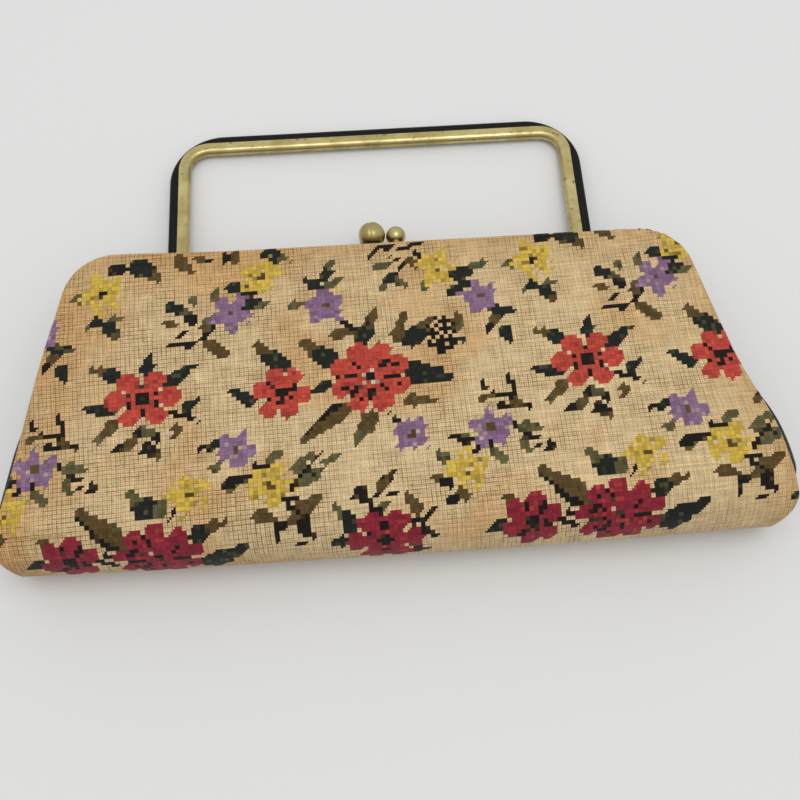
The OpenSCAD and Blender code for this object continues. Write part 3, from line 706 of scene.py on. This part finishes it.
def stretch(bm, surface, length):
    """Draws the flat cloth over one half and turns its edges in, with the relief of canvas and wool."""
    lattice, edge = (bm.verts.layers.float_vector[name] for name in ("lattice", "edge"))
    worked = bm.verts.layers.float["worked"]
    for v in bm.verts:
        i, j = round(v[lattice].x), round(v[lattice].y)
        past, out_x, out_up = v[edge]
        side = 1 if v.co.x >= 0 else -1
        x, down, depth = v.co.x, v.co.y, 0
        if past > 0:
            out, depth = over_edge(past)
            x += side * out_x * (out - past)
            down -= out_up * (out - past)
        depth += max(0, v.co.y - length)
        y, z, ny, nz = surface(down)
        top_side = 0.5 + 0.5 * nz
        wave = WAVE * noise.noise(Vector((x, down, WAVE_SEED)) / WAVE_LENGTH) * smooth_step(-past / WAVE_EDGE)
        swell = (CROWN * smooth_step(-past / CROWN_REACH) + wave) * top_side
        weave = WEAVE_RISE if (i + j) % 2 else -WEAVE_RISE
        wool = WOOL_RISE + STITCH_RISE if j % 2 else WOOL_RISE
        relief = weave * (1 - v[worked]) + wool * v[worked]
        lift = swell + relief * (UNDER_RELIEF + (1 - UNDER_RELIEF) * top_side) - depth
        v.co = (Vector((x, y + ny * lift, z + nz * lift)) + slack(x, y)) * MM


def tapestry(name, surface, length, first_row, pulled, material):
    """Needlepoint of one half, with the size and the area of its flat cut in metres."""
    bm = cut_canvas(surface, length)
    flat_area = sum(f.calc_area() for f in bm.faces) * MM * MM
    xs, ys = [v.co.x for v in bm.verts], [v.co.y for v in bm.verts]
    flat_size = ((max(xs) - min(xs)) * MM, (max(ys) - min(ys)) * MM)
    work_wool(bm, surface, first_row, pulled)
    stretch(bm, surface, length)
    bmesh.ops.recalc_face_normals(bm, faces=bm.faces)
    return new_piece(name, bm, material), flat_size, flat_area


# Needlepoint: matt wool and cotton with a fibrous nap and uneven, slubby yarn, with painted shade in the gaps
# and holes between the paired threads of the canvas and between the stitches of wool. Its map counts stitches
# of
# 1.84 mm, which gives slubs 0.8 mm apart, patches of 20 mm where the painted gap shade is deeper, and fibres
# of
# 0.4 mm. Gaps are shares of a stitch.
SLUBS = 2.3
SLUB_LOW = 0.34
SLUB_HIGH = 0.74
DOWN = (1.0, 0.14, 1.0)
ALONG = (0.14, 1.0, 1.0)
PAIR_HALF = 0.5
PAIR_GAP = 0.3
THREAD_HALF = 0.25
THREAD_GAP = 0.16
THREAD_GAP_SHADE = 0.6
LEAST_GAP = 0.02
# Width, strength and colour of the painted shade between the stitches of wool
WOOL_GAP = 0.2
WOOL_GAP_SHADE = 0.26
WOOL_GAP_SHADE_TINT = "#1c110c"
# Patches where the painted gap shade of the canvas is deeper, a little more to the left
PATCHES = 0.09
PATCH_LOW = 0.38
PATCH_HIGH = 0.62
PATCH_LEAN = -0.001
GAP_FAINT = 0.22
GAP_DEEP = 0.72
FIBRES = 5.0

needlepoint, tree, shader = new_material("needlepoint")
yarn = add_node(tree, "ShaderNodeVertexColor", layer_name="wool")
weave = add_node(tree, "ShaderNodeUVMap", uv_map="threads")
axes = add_node(tree, "ShaderNodeSeparateXYZ", {0: weave.outputs["UV"]})


def gap_shade_lines(axis, run, half_pitch, widest):
    """Lines of painted shade at even steps across the weave, uneven in width along each thread."""
    yarn_run = add_node(tree, "ShaderNodeMapping", {"Vector": weave.outputs["UV"], "Scale": run})
    slub = add_node(tree, "ShaderNodeTexNoise", {"Vector": yarn_run.outputs["Vector"], "Scale": SLUBS,
                                                 "Detail": 2.0})
    width = add_node(tree, "ShaderNodeMapRange", {"Value": slub.outputs["Fac"], "From Min": SLUB_LOW,
                                                  "From Max": SLUB_HIGH, "To Min": LEAST_GAP,
                                                  "To Max": widest})
    beat = add_node(tree, "ShaderNodeMath", {0: axes.outputs[axis], 1: half_pitch}, operation="PINGPONG")
    line = add_node(tree, "ShaderNodeMapRange", {"Value": beat.outputs["Value"], "From Min": 0.0,
                                                 "From Max": width.outputs["Result"], "To Min": 1.0,
                                                 "To Max": 0.0}, interpolation_type="SMOOTHSTEP")
    return line.outputs["Result"]


# Painted shade in the gaps and holes of the canvas, deeper in patches and a little more to the left
patch = add_node(tree, "ShaderNodeTexNoise", {"Vector": weave.outputs["UV"], "Scale": PATCHES, "Detail": 4.0})
gap_shade_patch = add_node(tree, "ShaderNodeMath", {0: axes.outputs["X"], 1: PATCH_LEAN, 2: patch.outputs["Fac"]},
                operation="MULTIPLY_ADD")
depth = add_node(tree, "ShaderNodeMapRange", {"Value": gap_shade_patch.outputs["Value"], "From Min": PATCH_LOW,
                                              "From Max": PATCH_HIGH, "To Min": GAP_FAINT,
                                              "To Max": GAP_DEEP})
pairs = add_node(tree, "ShaderNodeMath", {0: gap_shade_lines("X", DOWN, PAIR_HALF, PAIR_GAP),
                                          1: gap_shade_lines("Y", ALONG, PAIR_HALF, PAIR_GAP)}, operation="MAXIMUM")
warp_gap = gap_shade_lines("X", DOWN, THREAD_HALF, THREAD_GAP)
weft_gap = gap_shade_lines("Y", ALONG, THREAD_HALF, THREAD_GAP)
holes = add_node(tree, "ShaderNodeMath", {0: warp_gap, 1: weft_gap}, operation="MULTIPLY")
lines = add_node(tree, "ShaderNodeMath", {0: warp_gap, 1: weft_gap}, operation="MAXIMUM")
both = add_node(tree, "ShaderNodeMath", {0: lines.outputs["Value"], 1: THREAD_GAP_SHADE,
                                         2: pairs.outputs["Value"]}, operation="MULTIPLY_ADD")
faint = add_node(tree, "ShaderNodeMath", {0: both.outputs["Value"], 1: depth.outputs["Result"]},
                 operation="MULTIPLY", use_clamp=True)
canvas_shade_lines = add_node(tree, "ShaderNodeMath", {0: faint.outputs["Value"], 1: holes.outputs["Value"]},
                       operation="MAXIMUM")
# Painted shade between the stitches of wool
between = add_node(tree, "ShaderNodeMath", {0: gap_shade_lines("X", DOWN, PAIR_HALF, WOOL_GAP),
                                            1: gap_shade_lines("Y", ALONG, PAIR_HALF, WOOL_GAP)},
                   operation="MAXIMUM")
wool_shade_lines = add_node(tree, "ShaderNodeMath", {0: between.outputs["Value"], 1: WOOL_GAP_SHADE},
                     operation="MULTIPLY")
# Painted gap shade, the canvas's where no wool lies and the wool's elsewhere, mixed into the colour
shown = add_node(tree, "ShaderNodeMix", {"Factor": yarn.outputs["Alpha"], "A": canvas_shade_lines.outputs["Value"],
                                         "B": wool_shade_lines.outputs["Value"]}, data_type="FLOAT")
gap_shade_colour = add_node(tree, "ShaderNodeMix", {"Factor": yarn.outputs["Alpha"], "A": hex_linear(CANVAS_GAP_SHADE),
                                            "B": hex_linear(WOOL_GAP_SHADE_TINT)}, data_type="RGBA")
tint = add_node(tree, "ShaderNodeMix", {"Factor": shown.outputs["Result"], "A": yarn.outputs["Color"],
                                        "B": gap_shade_colour.outputs["Result"]}, data_type="RGBA")
fibre = add_node(tree, "ShaderNodeTexNoise", {"Vector": weave.outputs["UV"], "Scale": FIBRES, "Detail": 3.0})
nap = add_node(tree, "ShaderNodeMath", {0: shown.outputs["Result"], 1: -1.0, 2: fibre.outputs["Fac"]},
               operation="MULTIPLY_ADD")
bump = add_node(tree, "ShaderNodeBump", {"Height": nap.outputs["Value"], "Strength": 0.6,
                                         "Distance": 0.4 * MM})
tree.links.new(tint.outputs["Result"], shader.inputs["Base Color"])
tree.links.new(bump.outputs["Normal"], shader.inputs["Normal"])
shader.inputs["Roughness"].default_value = 0.92
shader.inputs["Specular IOR Level"].default_value = 0.15
shader.inputs["Sheen Weight"].default_value = 0.12
shader.inputs["Sheen Roughness"].default_value = 0.5

# The cloth gives way over a band round the hinge, the more the nearer it is to the front
BEND_FROM = Vector((0, 5, 32.5)) * MM
BEND_TO = Vector((0, 24, 42)) * MM

front_tapestry, flat_size, flat_area = tapestry("front_tapestry", on_front, FRONT_LENGTH, FRONT_ROW, PULLED,
                                                needlepoint)
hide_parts("front_cover", "red_stitches", "crimson_stitches", "violet_stitches",
            "yellow_stitches", "leaf_stitches")
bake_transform(front_tapestry, "bag", "front_frame", start=BEND_FROM, end=BEND_TO)

# Tapestry of the back
# The same needlepoint, cut to the bag's outline above the seam and turned in over the back half of the frame.
# Its cut starts some rows further up the pattern, and it has no pulled threads.
BACK_LENGTH = RIM_Y - FOLD_Y - SEAM_UP
BACK_ROW = 37


def on_back(down):
    """Point and outward direction, in Y and Z, at a distance down the flat back from the rim."""
    return (RIM_Y - down, 0, 0, -1)


back_tapestry, flat_size, flat_area = tapestry("back_tapestry", on_back, BACK_LENGTH, BACK_ROW, [],
                                               needlepoint)
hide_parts("back_cover")
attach(back_tapestry, "bag")

# Gussets
# Black vinyl cloth that closes each side below the hinge. Its edges are sewn inside the turned edges of the
# tapestry, and it bulges between them, a little more on the right.
GUSSET_TOP = 22
GUSSET_LOW = FOLD_Y - (FOLD_R - HALF_T)
GUSSET_ROWS = 60
GUSSET_COLUMNS = 14
GUSSET_IN = 1.0
LEAST_HALF = 0.2

# The bulge, how quickly it grows from the top and from the foot, and how flat it is across, with a ripple
BULGE = 7.1
BULGE_RIGHT = 0.4
BULGE_TOP = 1.9
BULGE_FOOT = 4
BULGE_FLAT = 4
RIPPLE = 0.25
RIPPLE_LENGTH = 9
RIPPLE_ACROSS = 1.2
RIPPLE_SEED = 5

# Black vinyl: a shallow leather grain, half matt, with cloudy scuffs that catch the light a little
VINYL_BLACK = "#060606"
VINYL_SCUFFED = "#121211"
GRAIN_SIZE = 0.9
SCUFF_SIZE = 16.7

vinyl, tree, shader = new_material("black_vinyl")
place = add_node(tree, "ShaderNodeTexCoord")
grain = add_node(tree, "ShaderNodeTexVoronoi", {"Vector": place.outputs["Object"],
                                                "Scale": 1 / (GRAIN_SIZE * MM)})
scuff = add_node(tree, "ShaderNodeTexNoise", {"Vector": place.outputs["Object"],
                                              "Scale": 1 / (SCUFF_SIZE * MM), "Detail": 5.0})
rough = add_node(tree, "ShaderNodeMapRange", {"Value": scuff.outputs["Fac"], "From Min": 0.35,
                                              "From Max": 0.75, "To Min": 0.38, "To Max": 0.6})
shade = add_node(tree, "ShaderNodeMix", {"Factor": scuff.outputs["Fac"], "A": hex_linear(VINYL_BLACK),
                                         "B": hex_linear(VINYL_SCUFFED)}, data_type="RGBA")
bump = add_node(tree, "ShaderNodeBump", {"Height": grain.outputs["Distance"], "Strength": 0.15,
                                         "Distance": 0.2 * MM})
tree.links.new(shade.outputs["Result"], shader.inputs["Base Color"])
tree.links.new(rough.outputs["Result"], shader.inputs["Roughness"])
tree.links.new(bump.outputs["Normal"], shader.inputs["Normal"])
shader.inputs["Specular IOR Level"].default_value = 0.15

for name, side in (("gusset_left", -1), ("gusset_right", 1)):
    bm = bmesh.new()
    bmesh.ops.create_grid(bm, x_segments=GUSSET_COLUMNS, y_segments=GUSSET_ROWS, size=1)
    for v in bm.verts:
        u, t = v.co.x, (v.co.y + 1) / 2
        y = cloth_y = GUSSET_LOW + (GUSSET_TOP - GUSSET_LOW) * t
        if y < FOLD_Y:
            cloth_y = FOLD_Y + (y - FOLD_Y) * FOLD_R / (FOLD_R - HALF_T)
            middle = FOLD_R
            half = math.sqrt(max(LEAST_HALF ** 2, (FOLD_R - HALF_T) ** 2 - (y - FOLD_Y) ** 2))
        else:
            z_high = RIM_T + (RIM_Y - y) * math.tan(TILT) - HALF_T / math.cos(TILT)
            middle, half = (HALF_T + z_high) / 2, (z_high - HALF_T) / 2
        swell = (BULGE + BULGE_RIGHT * side) * (1 - u ** BULGE_FLAT)
        swell *= smooth_step((1 - t) * BULGE_TOP) * smooth_step(t * BULGE_FOOT)
        ripple = noise.noise(Vector((y / RIPPLE_LENGTH, u * RIPPLE_ACROSS, side * RIPPLE_SEED)))
        x = side * (half_width(cloth_y) - GUSSET_IN + swell + RIPPLE * ripple * (1 - u ** 2))
        v.co = (Vector((x, y, middle + half * u)) + slack(x, y)) * MM
    bmesh.ops.recalc_face_normals(bm, faces=bm.faces)
    if sum(f.normal.x for f in bm.faces) * side < 0:
        bmesh.ops.reverse_faces(bm, faces=bm.faces)
    flat_area = sum(f.calc_area() for f in bm.faces)
    for f in bm.faces:
        f.smooth = True
    gusset = new_piece("side_" + name, bm, vinyl)
    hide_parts(name)
    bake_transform(gusset, "bag", "front_frame", start=BEND_FROM, end=BEND_TO)

# Board and lining
# A sheet of grey-brown card stiffens each panel, and a satin lining is tucked into the frame's channels.
# The front's board and the lining bend with the tapestry at the hinge, so their solids are cut into strips.
STRIP = 4
RUCK = 0.5
RUCK_LENGTH = 26
RUCK_UP = 1.6
MERGE = 1e-6
CUT_SNAP = 1e-7
LINING_FROM = Vector((0, 5, 29.3)) * MM
LINING_TO = Vector((0, 7.9, 36)) * MM


def bending_copy(node, name, material, ruck):
    """The solid of a node as loose cloth or card: merged, cut across into strips and slightly rucked."""
    bm = bmesh.new()
    bm.from_mesh(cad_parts[node].data)
    bmesh.ops.remove_doubles(bm, verts=bm.verts, dist=MERGE)
    low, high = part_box(node)
    for axis, step in ((1, STRIP), (0, 3 * STRIP)):
        for k in range(math.ceil(low[axis] / MM / step), math.floor(high[axis] / MM / step) + 1):
            cut, facing = Vector(), Vector()
            cut[axis], facing[axis] = k * step * MM, 1
            bmesh.ops.bisect_plane(bm, geom=bm.verts[:] + bm.edges[:] + bm.faces[:], dist=CUT_SNAP,
                                   plane_co=cut, plane_no=facing)
    for v in bm.verts:
        v.co.z += ruck * MM * noise.noise(Vector((v.co.x, v.co.y * RUCK_UP, 0)) / (RUCK_LENGTH * MM))
    return new_piece(name, bm, material)


# Grey card: rough pulp board, quite matt, with flecks about 1 mm across
CARD = "#9a8460"
CARD_FLECK = "#7d6a4a"
FLECK_SIZE = 1.11

card, tree, shader = new_material("grey_card")
place = add_node(tree, "ShaderNodeTexCoord")
pulp = add_node(tree, "ShaderNodeTexNoise", {"Vector": place.outputs["Object"],
                                             "Scale": 1 / (FLECK_SIZE * MM), "Detail": 4.0})
shade = add_node(tree, "ShaderNodeMix", {"Factor": pulp.outputs["Fac"], "A": hex_linear(CARD),
                                         "B": hex_linear(CARD_FLECK)}, data_type="RGBA")
tree.links.new(shade.outputs["Result"], shader.inputs["Base Color"])
shader.inputs["Roughness"].default_value = 0.95

# Satin lining: woven, with a soft shine that comes and goes over its folds, painted into its colour as
# patches of paler satin and darker painted shade about 18 mm across. Its twill is finer than the render
# shows, so the ribs are drawn about 1 mm apart.
SATIN = "#c8b083"
SATIN_PAINTED_SHADE = "#a78f63"
SHEEN_PATCH_SIZE = 18.2
TWILL_SIZE = 1.11

satin, tree, shader = new_material("satin_lining")
place = add_node(tree, "ShaderNodeTexCoord")
sheen_patches = add_node(tree, "ShaderNodeTexNoise", {"Vector": place.outputs["Object"],
                                               "Scale": 1 / (SHEEN_PATCH_SIZE * MM), "Detail": 3.0})
twill = add_node(tree, "ShaderNodeTexWave", {"Vector": place.outputs["Object"],
                                             "Scale": 1 / (TWILL_SIZE * MM), "Distortion": 1.5},
                 bands_direction="DIAGONAL")
# Painted sheen and shade: paler and darker satin in patches
shade = add_node(tree, "ShaderNodeMix", {"Factor": sheen_patches.outputs["Fac"], "A": hex_linear(SATIN_PAINTED_SHADE),
                                         "B": hex_linear(SATIN)}, data_type="RGBA")
bump = add_node(tree, "ShaderNodeBump", {"Height": twill.outputs["Fac"], "Strength": 0.1,
                                         "Distance": 0.1 * MM})
tree.links.new(shade.outputs["Result"], shader.inputs["Base Color"])
tree.links.new(bump.outputs["Normal"], shader.inputs["Normal"])
shader.inputs["Roughness"].default_value = 0.42
shader.inputs["Sheen Weight"].default_value = 0.3

stiffener = bending_copy("front_board", "front_stiffener", card, 0)
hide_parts("front_board")
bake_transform(stiffener, "bag", "front_frame", start=BEND_FROM, end=BEND_TO)
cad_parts["back_board"].data.materials[0] = card

lining = bending_copy("lining", "satin_lining", satin, RUCK)
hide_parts("lining")
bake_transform(lining, "bag", "front_frame", start=LINING_FROM, end=LINING_TO)

# Frame, handle and rivets
# Frame halves, hinge rivets, clasp, brackets and the handle's channel are pressed from brass sheet or turned,
# then lacquered. The handle's outside is covered in the gussets' vinyl. All sharp edges are broken a little.
EDGE_BREAK = 0.4
EDGE_STEPS = 2
SHARP = math.radians(40)
BRASS_NODES = ["frame_back", "frame_front", "hinge_rivet_left", "hinge_rivet_right", "clasp_back",
               "clasp_front", "handle_channel", "handle_bracket_left", "handle_bracket_right",
               "handle_rivet_left", "handle_rivet_right"]

# Aged brass: under old lacquer, dull and a little greenish in clouds, with small dark spots
BRASS_BRIGHT = "#c9bb86"
BRASS_DULL = "#ab9c66"
BRASS_DARK = "#8d7c4c"
CLOUD_SIZE = 11.1
SPOT_SIZE = 2.38

brass, tree, shader = new_material("aged_brass")
place = add_node(tree, "ShaderNodeTexCoord")
cloud = add_node(tree, "ShaderNodeTexNoise", {"Vector": place.outputs["Object"],
                                              "Scale": 1 / (CLOUD_SIZE * MM), "Detail": 6.0})
spots = add_node(tree, "ShaderNodeTexNoise", {"Vector": place.outputs["Object"],
                                              "Scale": 1 / (SPOT_SIZE * MM), "Detail": 3.0})
dull = add_node(tree, "ShaderNodeMapRange", {"Value": cloud.outputs["Fac"], "From Min": 0.35,
                                             "From Max": 0.65})
speck = add_node(tree, "ShaderNodeMapRange", {"Value": spots.outputs["Fac"], "From Min": 0.62,
                                              "From Max": 0.72})
shade = add_node(tree, "ShaderNodeMix", {"Factor": dull.outputs["Result"], "A": hex_linear(BRASS_BRIGHT),
                                         "B": hex_linear(BRASS_DULL)}, data_type="RGBA")
spotted = add_node(tree, "ShaderNodeMix", {"Factor": speck.outputs["Result"], "A": shade.outputs["Result"],
                                           "B": hex_linear(BRASS_DARK)}, data_type="RGBA")
rough = add_node(tree, "ShaderNodeMapRange", {"Value": cloud.outputs["Fac"], "From Min": 0.3, "From Max": 0.7,
                                              "To Min": 0.24, "To Max": 0.42})
bump = add_node(tree, "ShaderNodeBump", {"Height": spots.outputs["Fac"], "Strength": 0.03,
                                         "Distance": 0.2 * MM})
tree.links.new(spotted.outputs["Result"], shader.inputs["Base Color"])
tree.links.new(rough.outputs["Result"], shader.inputs["Roughness"])
tree.links.new(bump.outputs["Normal"], shader.inputs["Normal"])
shader.inputs["Metallic"].default_value = 1.0

for name in BRASS_NODES + ["handle_inlay"]:
    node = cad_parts[name]
    node.data.materials[0] = vinyl if name == "handle_inlay" else brass
    weld = node.modifiers.new("weld", "WELD")
    weld.merge_threshold = MERGE
    bevel = node.modifiers.new("broken_edges", "BEVEL")
    bevel.width = EDGE_BREAK * MM
    bevel.segments = EDGE_STEPS
    bevel.limit_method = "ANGLE"
    bevel.angle_limit = SHARP
    bevel.use_clamp_overlap = True
    bevel.harden_normals = True

# Ball of the clasp's back half
# A shell of thin brass, spun in two halves that meet in an upright seam. It is closed over the post and the
# small ball of the back half, and stands clear of the front half's ball.
SHELL_R = 6.2
SHELL_IN = 5.8
SHELL_DOWN = 5.0
SHELL_BACK = 3.7
SHELL_RINGS = 48
SEAM_AT = -0.6
SEAM_HALF = 0.3
SEAM_DEEP = 0.25

clasp_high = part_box("clasp_back")[1] / MM
shell_at = clasp_high - Vector((SHELL_IN, SHELL_DOWN, SHELL_BACK))
bm = bmesh.new()
bmesh.ops.create_uvsphere(bm, u_segments=2 * SHELL_RINGS, v_segments=SHELL_RINGS, radius=SHELL_R,
                          matrix=Matrix.Rotation(math.pi / 2, 4, "Y"))
for v in bm.verts:
    if abs(v.co.x - SEAM_AT) < SEAM_HALF:
        v.co *= 1 - SEAM_DEEP / SHELL_R
    v.co = (v.co + shell_at) * MM
for f in bm.faces:
    f.smooth = True
clasp_ball = new_piece("clasp_ball", bm, brass)
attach(clasp_ball, "bag")
